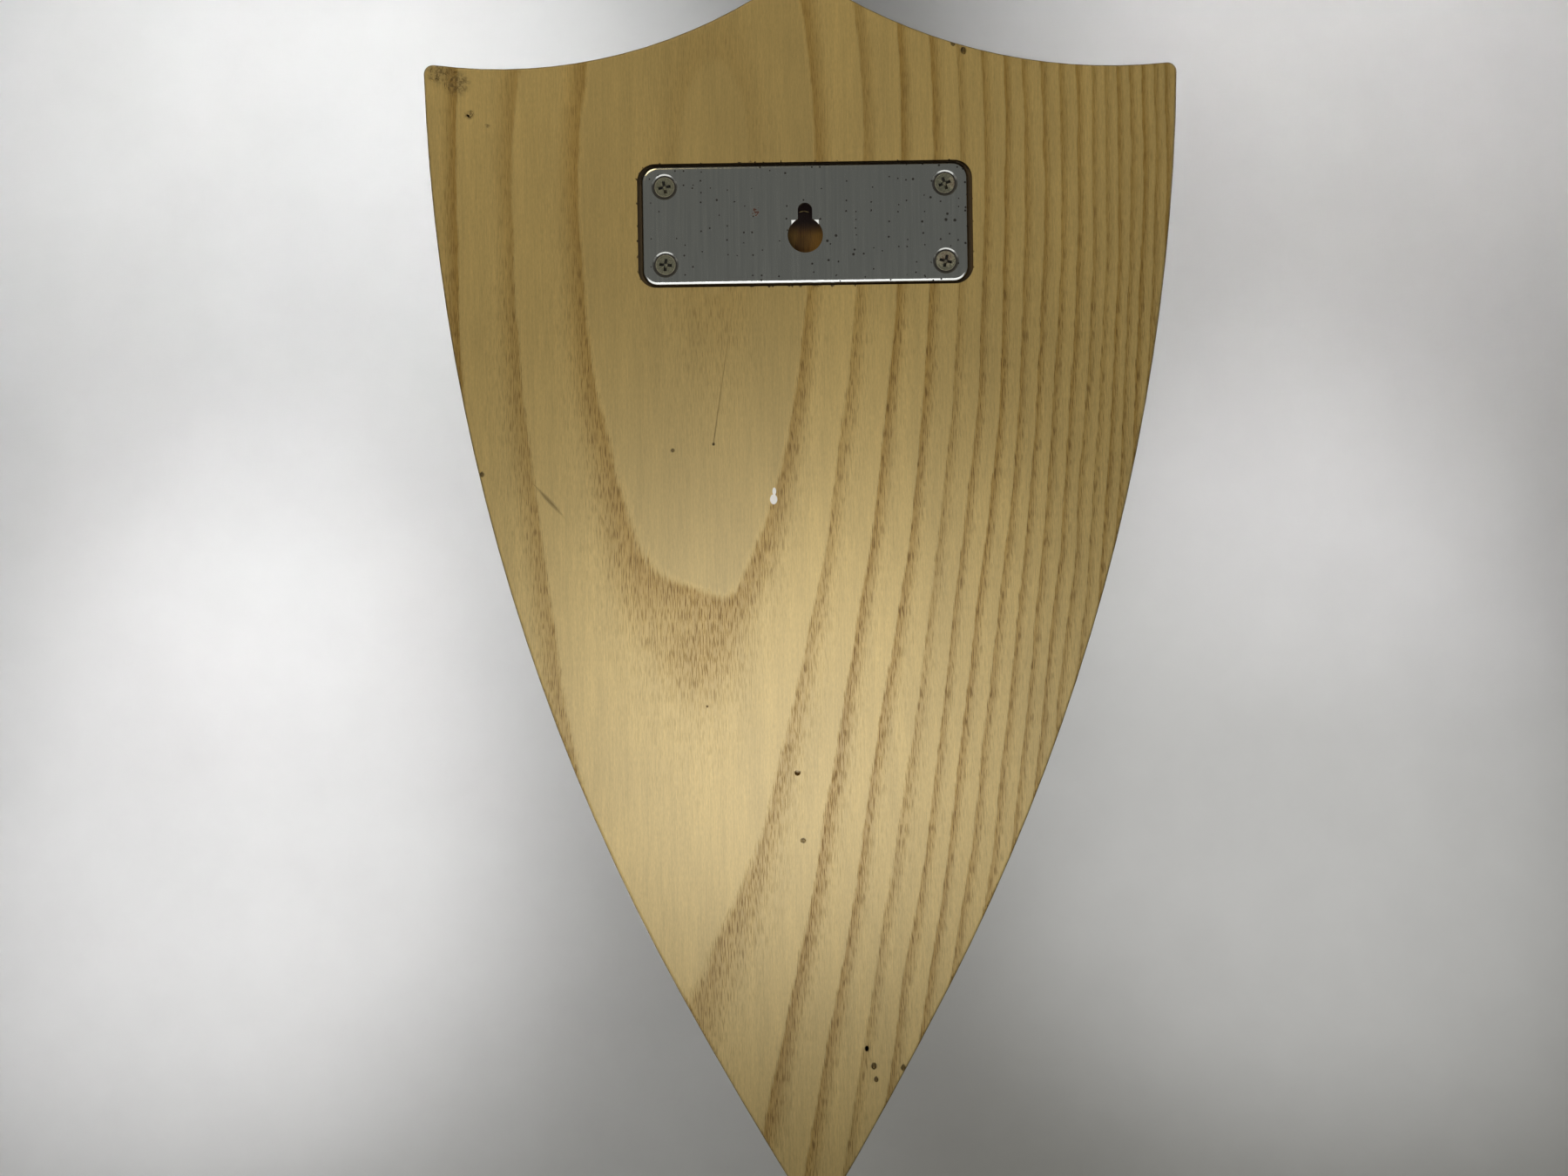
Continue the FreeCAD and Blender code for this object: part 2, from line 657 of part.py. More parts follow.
pieces = [make_shield_board(), make_keyhole_plate()]
pieces += [make_hanger_screw(*screw) for screw in HANGER_SCREWS]
pieces.append(make_presentation_plate())
pieces += [make_plate_pin(label, centre) for label, centre in pin_spots().items()]
doc.recompute()

# ---------------------------------------------------------------- checks and files

for item in doc.Objects:
    if "Invalid" in item.State or "Error" in item.State:
        raise RuntimeError(f"{item.Label} did not recompute: {item.State}")
    if item.TypeId == "Sketcher::SketchObject" and not item.FullyConstrained:
        raise RuntimeError(f"{item.Label} is not fully constrained")

os.makedirs("parts", exist_ok=True)
for piece in pieces:
    shape = piece.Shape
    if shape.isNull() or not shape.isValid() or len(shape.Solids) != 1:
        raise RuntimeError(f"{piece.Label} is not one valid solid")
    shape.exportStep(f"parts/{piece.Label}.step")
    box = shape.optimalBoundingBox()
    extent = f"{box.XLength:.2f} x {box.YLength:.2f} x {box.ZLength:.2f} mm"
    print(f"{piece.Label}: {shape.Volume:.2f} mm3, {extent}")
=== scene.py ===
"""Wooden wall shield, seen from the back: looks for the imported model, in metres.

+Z is up and +Y is towards the wall, as the shield hangs. The back of the board is the plane y = 0.
"""

import math
import random
from functools import partial

import bmesh
import bpy
from bpy.props import FloatProperty, FloatVectorProperty, PointerProperty
from mathutils import Matrix, Vector, noise


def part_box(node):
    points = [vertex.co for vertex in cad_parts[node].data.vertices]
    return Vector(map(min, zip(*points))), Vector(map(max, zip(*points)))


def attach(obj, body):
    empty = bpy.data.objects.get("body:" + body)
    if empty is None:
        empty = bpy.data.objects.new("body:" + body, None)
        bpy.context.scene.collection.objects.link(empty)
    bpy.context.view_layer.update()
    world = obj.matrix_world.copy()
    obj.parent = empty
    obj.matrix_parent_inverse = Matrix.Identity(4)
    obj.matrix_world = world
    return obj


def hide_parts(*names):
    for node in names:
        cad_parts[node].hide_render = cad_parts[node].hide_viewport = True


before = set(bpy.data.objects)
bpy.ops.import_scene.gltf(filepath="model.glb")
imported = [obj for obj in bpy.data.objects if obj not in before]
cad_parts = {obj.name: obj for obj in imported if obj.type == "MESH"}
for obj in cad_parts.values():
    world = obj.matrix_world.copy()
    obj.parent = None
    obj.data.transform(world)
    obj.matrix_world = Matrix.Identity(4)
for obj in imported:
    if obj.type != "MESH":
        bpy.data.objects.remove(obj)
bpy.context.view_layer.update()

bl_info = {
    "name": "Wall shield",
    "version": (1, 0, 0),
    "blender": (4, 5, 0),
    "location": "View3D > Sidebar > Wall shield",
    "description": "Ash wall shield on a keyhole plate, with a blank brass presentation plate",
    "category": "Object",
}

MM = 0.001
SHIELD_LOW, SHIELD_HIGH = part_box("shield_board")
PLATE_LOW, PLATE_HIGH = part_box("keyhole_plate")
PLATE_MIDDLE = (PLATE_LOW + PLATE_HIGH) / 2 / MM
BADGE_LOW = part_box("presentation_plate")[0]
SCREWS = sorted(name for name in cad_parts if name.startswith("hanger_screw"))
PINS = sorted(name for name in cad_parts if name.startswith("plate_pin"))


def box_in_mm(name):
    """The lowest and highest corners of a CAD node, in millimetres."""
    low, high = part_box(name)
    return low / MM, high / MM


def linear(code):
    """The linear colour of an sRGB hex code."""
    channels = [int(code[i : i + 2], 16) / 255 for i in (1, 3, 5)]
    return tuple(c / 12.92 if c <= 0.04045 else ((c + 0.055) / 1.055) ** 2.4 for c in channels)


def colour(name, code, description):
    """A colour setting, from its sRGB hex code."""
    return FloatVectorProperty(
        name=name, description=description, subtype="COLOR", size=3, min=0, max=1, default=linear(code)
    )


def distance(name, millimetres, description):
    """A distance setting, in metres as Blender keeps it."""
    return FloatProperty(
        name=name, description=description, subtype="DISTANCE", unit="LENGTH", min=0, default=millimetres * MM
    )


def power(name, watts, description):
    """A light's power setting, in watts."""
    return FloatProperty(name=name, description=description, subtype="POWER", unit="POWER", default=watts)


# ---------------------------------------------------------------- settings


class AshSettings(bpy.types.PropertyGroup):
    latewood: colour("Latewood", "#D8BE7C", "Pale, dense wood that fills most of each ring")
    earlywood: colour("Earlywood", "#B39046", "Porous orange-brown wood at the start of each ring")
    pore: colour("Pores", "#7A5B26", "Shadow inside the open pores")
    # The burn colour is also painted shade on the recess wall and in the hollow behind the keyhole plate.
    burn_and_shade: colour("Burnt wall", "#341A10", "Recess wall darkened by the cutter")
    grime: colour("Grime", "#54401F", "Dirt rubbed into the edges and the bruises")
    first_ring: distance("First ring", 26.5, "Radius of the first clear ring about the pith")
    ring_pitch: distance("Ring pitch", 15.3, "How wide the rings are there")
    crowding: distance("Crowding", 100, "How gradually the rings narrow, away from the pith")
    pore_width: distance("Pore width", 0.24, "Width of one pore streak")
    pore_length: distance("Pore length", 3.8, "Length of one pore streak")


class MetalSettings(bpy.types.PropertyGroup):
    nickel: colour("Nickel plate", "#C9CAC6", "Bright plate on the keyhole hanger")
    rust: colour("Rust", "#45261A", "Rust spots and stains")
    zinc: colour("Zinc plate", "#C2BFA6", "Yellowish passivated zinc on the screws")
    brass: colour("Brass", "#D8B368", "Brass of the presentation plate and its pins")
    tarnish: colour("Tarnish", "#7A5A2A", "Patina in the engraved line and round the pins")


class StudioSettings(bpy.types.PropertyGroup):
    surface: colour("Surface", "#E2E2E2", "Floor and backdrop")
    drop: distance("Floor drop", 460, "Floor below the shield's tip")
    reach: distance("Backdrop reach", 1300, "Backdrop in front of the shield's face")
    lens: FloatProperty(name="Lens", description="Focal length in millimetres", min=10, default=50)
    span: distance("View width", 436, "Width of the view at the shield's back")
    roll: FloatProperty(
        name="Roll", description="Lean of the shield in the view", subtype="ANGLE", default=math.radians(0.86)
    )
    key: power("Key light", 12.8, "Soft pool of light on the lower half of the back")
    halo: power("Halo light", 1.6, "Wider pool of light round the key light's")
    fill: power("Fill light", 0.32, "Soft warm light on the top of the back")
    glint: power("Glint light", 4, "Broad light from below, on the metal of the back alone")
    front: power("Front lights", 1.5, "Each of the two soft lights on the front")
    floor: power("Floor light", 9, "Soft light on the floor behind the back, on the sweep alone")
    backdrop: power("Backdrop light", 42, "Strongest of the pools of light on the backdrop")


# ---------------------------------------------------------------- shader nodes


def add(tree, kind, *inputs, named=None, **settings):
    """Add a shader node and return its first output.

    inputs go to its sockets in order and named to them by name. Each is a value, or an output to link.
    """
    node = tree.nodes.new(f"ShaderNode{kind}")
    for name, value in settings.items():
        setattr(node, name, value)
    sockets = [socket for socket in node.inputs if socket.enabled]
    pairs = [(sockets[number], value) for number, value in enumerate(inputs) if value is not None]
    pairs += [(next(s for s in sockets if s.name == name), value) for name, value in (named or {}).items()]
    for socket, value in pairs:
        if isinstance(value, bpy.types.NodeSocket):
            tree.links.new(value, socket)
        elif socket.type == "RGBA":
            socket.default_value = (*value, 1)
        else:
            socket.default_value = value
    return next((socket for socket in node.outputs if socket.enabled), None)


def new_material(name):
    """An empty material, and add() bound to its tree."""
    material = bpy.data.materials.new(name)
    material.use_nodes = True
    material.node_tree.nodes.clear()
    return material, partial(add, material.node_tree)


def in_millimetres(node):
    """The shaded point in the shield's own frame, in millimetres."""
    place = node("TexCoord").node.outputs["Object"]
    return node("VectorMath", place, 1 / MM, operation="SCALE")


def blot(node, point, centre, radii, soft=0.4, turn=0.0):
    """1 inside an ellipsoid and 0 outside. turn tilts it about Y; soft is its fading share."""
    offset = node("VectorMath", point, centre, operation="SUBTRACT")
    if turn:
        offset = node("VectorRotate", offset, named={"Angle": turn}, rotation_type="Y_AXIS")
    offset = node("VectorMath", offset, radii, operation="DIVIDE")
    away = node("VectorMath", offset, operation="LENGTH")
    return node("MapRange", away, 1 - soft, 1, 1, 0, interpolation_type="SMOOTHSTEP")


def strongest(node, masks):
    """The highest of several masks."""
    first, *others = masks
    for mask in others:
        first = node("Math", first, mask, operation="MAXIMUM")
    return first


# ---------------------------------------------------------------- ash


# The pith of the tree runs up the board in a gentle curve. Its place across the board, and its depth
# behind the back, change with the height h in tenths of a metre: p + q h + r h^2, in millimetres.
PITH_ACROSS = (24.3, -1.9, 2.16)
PITH_DEPTH = (2.9, -25.7, -3.94)
WIDE_SIDE = 0.7  # the rings beyond the pith are wider, so distances there count for less
# How far the rings wander, by a broad noise and from fibre to fibre, in millimetres.
BROAD_WANDER = 4
FIBRE_WANDER = 1.5
# Where the rings bulge: centre, radii and how far.
SWELLINGS = (((34, 0, -110), (15, 30, 17), 2.3), ((18, 0, -114), (22, 30, 16), 0.9))
# Sizes across, through and up the board of what the grain is made of, in millimetres.
FIBRE = (0.5, 0.5, 10)
STREAK = (3.5, 3.5, 60)
CLOUD = (30, 30, 60)
TOOTH = (0.28, 0.28, 1.4)
# Blemishes in the back: where they are across and up, and their radius, in millimetres.
BRUISES = (((101.0, 40.0), 5.0), ((96.0, 36.5), 4.6), ((93.1, 27.7), 1.6), ((88.0, 24.5), 0.6))
DENTS = (((37.8, -66.4), 0.6), ((26.4, -64.8), 0.45), ((29.2, -137.7), 0.35), ((3.1, -175.4), 0.8))
NICKS = (
    ((104.6, 16.3), 0.6),
    ((90.9, -72.3), 0.7),
    ((-41.9, 45.8), 0.8),
    ((-44.7, 43.6), 0.9),
    ((-13.7, -233.5), 0.7),
    ((-15.6, -238.4), 0.9),
    ((-16.2, -242.1), 0.7),
    ((-23.8, -239.0), 0.8),
)
SCRATCH = (72.3, -80.0)
SCRATCH_HALF_LENGTH = 6.6
SCRATCH_TURN = math.radians(42)
# Two drops of white paint: across and up, radii across and up, and the fading share.
PAINT_DROPS = (((9.9, -80.4), (1.1, 1.5), 0.15), ((9.7, -78.2), (0.6, 1.2), 0.2))
# The recess for the keyhole plate and the hollow in its floor, in millimetres.
RECESS_GAP = (1.1, 0.45)  # between the plate and the wall, across and up
RECESS_CORNER = 5.0
RECESS_DEPTH = 2.2
HOLLOW_DEPTH = 9.5
# Two pale strokes in a chevron on the floor of the hollow: centre and turn.
PALE_CHEVRON = (
    ((-0.45, -HOLLOW_DEPTH, 1.1), math.radians(14)),
    ((0.85, -HOLLOW_DEPTH, 1.1), math.radians(-14)),
)


def curve_over_height(node, height, terms):
    """A quadratic of the height, from its level, slope and bend."""
    level, slope, bend = terms
    rise = node("Math", height, bend, slope, operation="MULTIPLY_ADD")
    return node("Math", rise, height, level, operation="MULTIPLY_ADD")


def growth_rings(node, look, point, fibre):
    """How far a point is into its ring, as 1 for each width of porous wood, and the count of rings."""
    x, y, z = node("SeparateXYZ", point).node.outputs
    height = node("Math", z, 0.01, operation="MULTIPLY")
    across = node("Math", curve_over_height(node, height, PITH_ACROSS), x, operation="SUBTRACT")
    narrow = node("Math", across, WIDE_SIDE, operation="MULTIPLY")
    across = node("Math", across, narrow, operation="MAXIMUM")
    depth = node("Math", curve_over_height(node, height, PITH_DEPTH), y, operation="SUBTRACT")
    radius = node("VectorMath", node("CombineXYZ", across, depth), operation="LENGTH")
    wander = node("VectorMath", point, (24, 24, 80), operation="DIVIDE")
    wander = node("TexNoise", wander, named={"Scale": 1, "Detail": 2})
    radius = node("Math", wander, BROAD_WANDER, radius, operation="MULTIPLY_ADD")
    radius = node("Math", fibre, FIBRE_WANDER, radius, operation="MULTIPLY_ADD")
    for centre, radii, amount in SWELLINGS:
        radius = node("Math", blot(node, point, centre, radii, 1), amount, radius, operation="MULTIPLY_ADD")
    first_ring = look.first_ring / MM + (BROAD_WANDER + FIBRE_WANDER) / 2
    beyond = node("Math", radius, first_ring, operation="SUBTRACT")
    crowd = node("Math", beyond, look.crowding / MM, operation="DIVIDE")
    growth = node("Math", crowd, operation="EXPONENT")
    growth = node("Math", growth, look.ring_pitch / MM, operation="DIVIDE")
    count = node("Math", beyond, growth, operation="MULTIPLY")
    into_ring = node("Math", count, operation="FRACT")
    rings_per_mm = node("Math", crowd, 1, operation="ADD")
    rings_per_mm = node("Math", rings_per_mm, growth, operation="MULTIPLY")
    into_mm = node("Math", into_ring, rings_per_mm, operation="DIVIDE")
    ring_width = node("Math", 1, rings_per_mm, operation="DIVIDE")
    band = node("Math", ring_width, 0.19, 1.0, operation="MULTIPLY_ADD")  # porous wood: 1 mm and a fifth
    into_band = node("Math", into_mm, band, operation="DIVIDE")
    return into_band, count


def y_of(node, point):
    return node("SeparateXYZ", point).node.outputs["Y"]


def near_plate(node, point):
    """1 behind the keyhole plate, a margin past its outline too, down to the floor of the hollow."""
    margin = 2
    half = (PLATE_HIGH - PLATE_LOW) / 2 / MM
    offset = node("VectorMath", point, PLATE_MIDDLE, operation="SUBTRACT")
    offset = node("VectorMath", offset, operation="ABSOLUTE")
    offset = node("SeparateXYZ", offset).node.outputs
    across = node("Math", offset["X"], half.x + margin, operation="LESS_THAN")
    up = node("Math", offset["Z"], half.z + margin, operation="LESS_THAN")
    not_through = node("Math", y_of(node, point), -HOLLOW_DEPTH - 0.5, operation="GREATER_THAN")
    inside = node("Math", across, up, operation="MULTIPLY")
    return node("Math", inside, not_through, operation="MULTIPLY")


def clean_ash(node, look, point, fibre, height):
    """The colour of clean ash, and how open its pores are as 0 to 1."""
    into_band, count = growth_rings(node, look, point, fibre)
    year = node("Math", count, operation="FLOOR")
    strength = node("TexWhiteNoise", named={"W": year}, noise_dimensions="1D")
    strength = node("MapRange", strength, 0, 1, 0.55, 0.95)
    inner = node("MapRange", count, -0.25, -0.02, 0.3, 1, interpolation_type="SMOOTHSTEP")
    strength = node("Math", strength, inner, operation="MULTIPLY")
    porous = node("MapRange", into_band, 0.1, 1.5, 1, 0, interpolation_type="SMOOTHSTEP")
    onset = node("MapRange", into_band, 0, 0.22, 0, 1, interpolation_type="SMOOTHSTEP")
    porous = node("Math", porous, onset, operation="MULTIPLY")
    porous = node("Math", porous, strength, operation="MULTIPLY")

    pore_size = (look.pore_width / MM, look.pore_width / MM, look.pore_length / MM)
    pores = node("VectorMath", point, pore_size, operation="DIVIDE")
    pores = node("TexNoise", pores, named={"Scale": 1, "Detail": 1})
    pores = node("MapRange", pores, 0.5, 0.64, 0, 1, interpolation_type="SMOOTHSTEP")
    scattered = node("MapRange", into_band, 0.5, 3, 0.32, 0.04, interpolation_type="SMOOTHSTEP")
    open_pores = node("Math", porous, 0.66, scattered, operation="MULTIPLY_ADD", use_clamp=True)
    filled = node("MapRange", height, -50, 10, 1, 0.5, interpolation_type="SMOOTHSTEP")
    pores = node("Math", pores, filled, operation="MULTIPLY")
    open_pores = node("Math", open_pores, pores, operation="MULTIPLY")

    first_year = node("MapRange", count, -0.03, 0.02, 0.87, 1)
    wood = node("VectorMath", look.latewood, first_year, operation="SCALE")
    wood = node("Mix", porous, wood, look.earlywood, data_type="RGBA")
    wood = node("Mix", open_pores, wood, look.pore, data_type="RGBA")
    shade = node("MapRange", fibre, 0.3, 0.7, 0.92, 1.07)
    streak = node("VectorMath", point, STREAK, operation="DIVIDE")
    streak = node("TexNoise", streak, named={"Scale": 1, "Detail": 2})
    streak = node("MapRange", streak, 0.3, 0.7, 0.94, 1.05)
    shade = node("Math", shade, streak, operation="MULTIPLY")
    cloud = node("VectorMath", point, CLOUD, operation="DIVIDE")
    cloud = node("TexNoise", cloud, named={"Scale": 1, "Detail": 2})
    cloud = node("MapRange", cloud, 0.3, 0.7, 0.93, 1.05)
    shade = node("Math", shade, cloud, operation="MULTIPLY")
    wood = node("VectorMath", wood, shade, operation="SCALE")

    tooth = node("VectorMath", point, TOOTH, operation="DIVIDE")
    tooth = node("TexNoise", tooth, named={"Scale": 1, "Detail": 1})
    tooth = node("MapRange", tooth, 0.3, 0.7, 0.94, 1.06)
    return node("VectorMath", wood, tooth, operation="SCALE"), open_pores


def soiled_ash(node, look, point, wood):
    """Dirt in the bruises, dents, nicks and scratch, and rubbed into the edge of the back."""
    speckle = node("TexNoise", point, named={"Scale": 0.9, "Detail": 4, "Roughness": 0.7})
    speckle = node("MapRange", speckle, 0.42, 0.6, 0.3, 1, interpolation_type="SMOOTHSTEP")
    bruises = strongest(node, [blot(node, point, (x, 0, z), (r, 2, r), 0.7) for (x, z), r in BRUISES])
    bruises = node("Math", bruises, speckle, operation="MULTIPLY")
    marks = [blot(node, point, (x, 0, z), (1.3 * r, 2, 1.3 * r), 0.6) for (x, z), r in (*DENTS, *NICKS)]
    scratch = (SCRATCH[0], 0, SCRATCH[1])
    scratched = blot(node, point, scratch, (0.9, 2, SCRATCH_HALF_LENGTH), 0.8, turn=-SCRATCH_TURN)
    marks.append(node("Math", scratched, 0.6, operation="MULTIPLY"))
    dirt = node("Math", strongest(node, marks), bruises, operation="MAXIMUM")
    dirt = node("Math", dirt, 0.75, operation="MULTIPLY")
    wood = node("Mix", dirt, wood, look.grime, data_type="RGBA")

    facing = node("NewGeometry").node.outputs["Normal"]
    arris = node("MapRange", y_of(node, facing), 0.5, 0.97, 1, 0, interpolation_type="SMOOTHSTEP")
    behind = node("MapRange", y_of(node, point), -1.2, -0.3, 0, 1, interpolation_type="SMOOTHSTEP")
    rubbed = node("MapRange", speckle, 0.3, 1, 0.6, 1)
    arris = node("Math", arris, behind, operation="MULTIPLY")
    arris = node("Math", arris, rubbed, operation="MULTIPLY")
    return node("Mix", arris, wood, look.grime, data_type="RGBA")


def burnt_and_shaded_ash(node, look, point, fibre, height, wood):
    """Wood behind the keyhole plate darkened with the burn colour, the cutter's burn together with painted
    shade on the recess wall and through the hollow, the painted shade darkest towards the top of the hollow;
    the hollow is amber, with two pale strokes on its floor.
    """
    y = y_of(node, point)
    into_recess = node("MapRange", y, -0.05, -0.35, 0, 1, interpolation_type="SMOOTHSTEP")
    near = node("Math", into_recess, near_plate(node, point), operation="MULTIPLY")
    # Painted shade with the cutter's burn: the recess wall is mixed most of the way to the burn colour, the
    # hollow less.
    below_floor = (-RECESS_DEPTH - 0.15, -RECESS_DEPTH - 0.05)
    burn_and_shade_mix = node("MapRange", y, *below_floor, 0.4, 0.85, interpolation_type="SMOOTHSTEP")
    # Painted shade in the hollow, darkest towards its top, with darker streaks along the fibre.
    top_shade_and_streaks = node("MapRange", height, -8.5, -1.5, 0, 1, interpolation_type="SMOOTHSTEP")
    charred_fibre = node("MapRange", fibre, 0.35, 0.6, 0.5, 0)
    top_shade_and_streaks = node("Math", top_shade_and_streaks, charred_fibre, operation="MAXIMUM")
    in_hollow = node("Math", y, -RECESS_DEPTH - 0.4, operation="LESS_THAN")
    in_hollow = node("Math", in_hollow, near, operation="MULTIPLY")
    top_shade_and_streaks = node("Math", top_shade_and_streaks, in_hollow, operation="MULTIPLY")
    amber = node("VectorMath", wood, linear("#FFDC8C"), operation="MULTIPLY")
    wood = node("Mix", in_hollow, wood, amber, data_type="RGBA")
    burn_and_shade_mix = node("Math", burn_and_shade_mix, top_shade_and_streaks, operation="MAXIMUM")
    burn_and_shade_mix = node("Math", burn_and_shade_mix, near, operation="MULTIPLY")
    wood = node("Mix", burn_and_shade_mix, wood, look.burn_and_shade, data_type="RGBA")
    # Two pale strokes in a chevron on the floor of the hollow, in the latewood colour.
    chevron_strokes = [blot(node, point, centre, (1.0, 1, 0.17), 0.5, turn) for centre, turn in PALE_CHEVRON]
    return node("Mix", strongest(node, chevron_strokes), wood, look.latewood, data_type="RGBA")


def ash_material(look):
    """Flat-sawn ash, sanded and thinly sealed.

    Ash is ring-porous, so each year starts with a brown band of open pores, which show as short
    dashes along the grain, and fades into smooth pale wood. The seal leaves a soft satin sheen.
    """
    material, node = new_material("ash_sanded_and_sealed")
    point = in_millimetres(node)
    height = node("SeparateXYZ", point).node.outputs["Z"]
    fibre = node("VectorMath", point, FIBRE, operation="DIVIDE")
    fibre = node("TexNoise", fibre, named={"Scale": 1, "Detail": 3, "Roughness": 0.6})
    wood, open_pores = clean_ash(node, look, point, fibre, height)
    wood = soiled_ash(node, look, point, wood)
    wood = burnt_and_shaded_ash(node, look, point, fibre, height, wood)

    drops = [blot(node, point, (x, 0, z), (w, 1, h), soft) for (x, z), (w, h), soft in PAINT_DROPS]
    paint = strongest(node, drops)
    wood = node("Mix", paint, wood, linear("#FFFFFF"), data_type="RGBA")

    pits = node("Math", open_pores, -1, operation="MULTIPLY")
    relief = node("Math", fibre, 0.5, pits, operation="MULTIPLY_ADD")
    relief = node("Math", paint, 2, relief, operation="MULTIPLY_ADD")
    bump = node("Bump", named={"Strength": 0.5, "Distance": 0.06 * MM, "Height": relief})
    gloss = node("MapRange", open_pores, 0, 1, 0.46, 0.62)
    sockets = {"Base Color": wood, "Roughness": gloss, "IOR": 1.5, "Normal": bump}
    node("OutputMaterial", node("BsdfPrincipled", named=sockets))
    return material


# ---------------------------------------------------------------- metals


# The rust spot beside the keyhole and the radius of a screw's seat, in millimetres.
RUST_SPOT = (13.8, 0, -0.3)
SEAT_RADIUS = 4.2


def nickel_material(look):
    """Bright nickel plate on pressed steel, rubbed by hand and stored in a damp place.

    A mirror broken by fine upright rub marks, black pinholes in the plating, and rust at the worst. Round
    each screw the upward-facing slopes of the countersink are darkened, painted shade of that side with dirt
    settled there.
    """
    material, node = new_material("nickel_plated_steel_pitted")
    point = in_millimetres(node)
    rub = node("VectorMath", point, (0.35, 0.35, 22), operation="DIVIDE")
    rub = node("TexNoise", rub, named={"Scale": 1, "Detail": 4, "Roughness": 0.65})
    haze = node("TexNoise", point, named={"Scale": 0.06, "Detail": 3, "Roughness": 0.5})

    across, _, up = node("SeparateXYZ", point).node.outputs
    face = node("CombineXYZ", across, up)
    holes = node("TexVoronoi", face, named={"Scale": 0.42, "Randomness": 1}, voronoi_dimensions="2D").node
    chance = node("SeparateColor", holes.outputs["Color"])
    crowd = node("MapRange", haze, 0.4, 0.65, 0.12, 0.45)
    crowd = node("Math", crowd, node("MapRange", across, 40, -30, 0.5, 1.25), operation="MULTIPLY")
    present = node("Math", chance, crowd, operation="LESS_THAN")
    size = node("Math", chance, 0.2, 0.075, operation="MULTIPLY_ADD")
    hole = node("Math", holes.outputs["Distance"], size, operation="LESS_THAN")
    hole = node("Math", hole, present, operation="MULTIPLY")

    ragged = node("TexNoise", point, named={"Scale": 1.3, "Detail": 4, "Roughness": 0.7})
    ragged = node("MapRange", ragged, 0.42, 0.58, 0, 1, interpolation_type="SMOOTHSTEP")
    spot = blot(node, point, RUST_SPOT, (1.3, 2, 2.0), 0.5, turn=math.radians(30))
    rust = node("Math", spot, ragged, operation="MULTIPLY")
    rust = node("MapRange", rust, 0.3, 0.4, 0, 1)
    eaten = node("Math", rust, hole, operation="MAXIMUM")

    # Painted shade: round each screw, the countersink's upward-facing slopes turn near black, with dirt
    # settled there.
    sides = node("SeparateXYZ", node("NewGeometry").node.outputs["Normal"]).node.outputs
    sloping = node("MapRange", sides["Y"], 0.8, 0.9, 1, 0, interpolation_type="SMOOTHSTEP")
    ledge = node("MapRange", sides["Z"], -0.45, -0.1, 0.1, 0.9, interpolation_type="SMOOTHSTEP")
    seats = []
    for name in SCREWS:
        low, high = box_in_mm(name)
        seats.append(blot(node, point, (low + high) / 2, (SEAT_RADIUS, 20, SEAT_RADIUS), 0.05))
    dirt = node("Math", sloping, ledge, operation="MULTIPLY")
    dirt = node("Math", dirt, strongest(node, seats), operation="MULTIPLY")

    tone = node("MapRange", rub, 0.3, 0.7, 0.95, 1.02)
    metal = node("VectorMath", look.nickel, tone, operation="SCALE")
    base = node("Mix", rust, metal, look.rust, data_type="RGBA")
    # Pinholes, and the countersinks' painted shade with dirt, in near black.
    dark = node("Math", dirt, hole, operation="MAXIMUM")
    base = node("Mix", dark, base, linear("#14110C"), data_type="RGBA")
    covered = node("Math", eaten, dirt, operation="MAXIMUM")
    gloss = node("MapRange", rub, 0.35, 0.7, 0.12, 0.2)
    gloss = node("Mix", covered, gloss, 0.75, data_type="FLOAT")
    bare = node("Math", 1, covered, operation="SUBTRACT")
    dip = node("Math", eaten, -3, rub, operation="MULTIPLY_ADD")
    bump = node("Bump", named={"Strength": 0.1, "Distance": 0.01 * MM, "Height": dip})
    sockets = {"Base Color": base, "Metallic": bare, "Roughness": gloss, "Normal": bump}
    node("OutputMaterial", node("BsdfPrincipled", named=sockets))
    return material


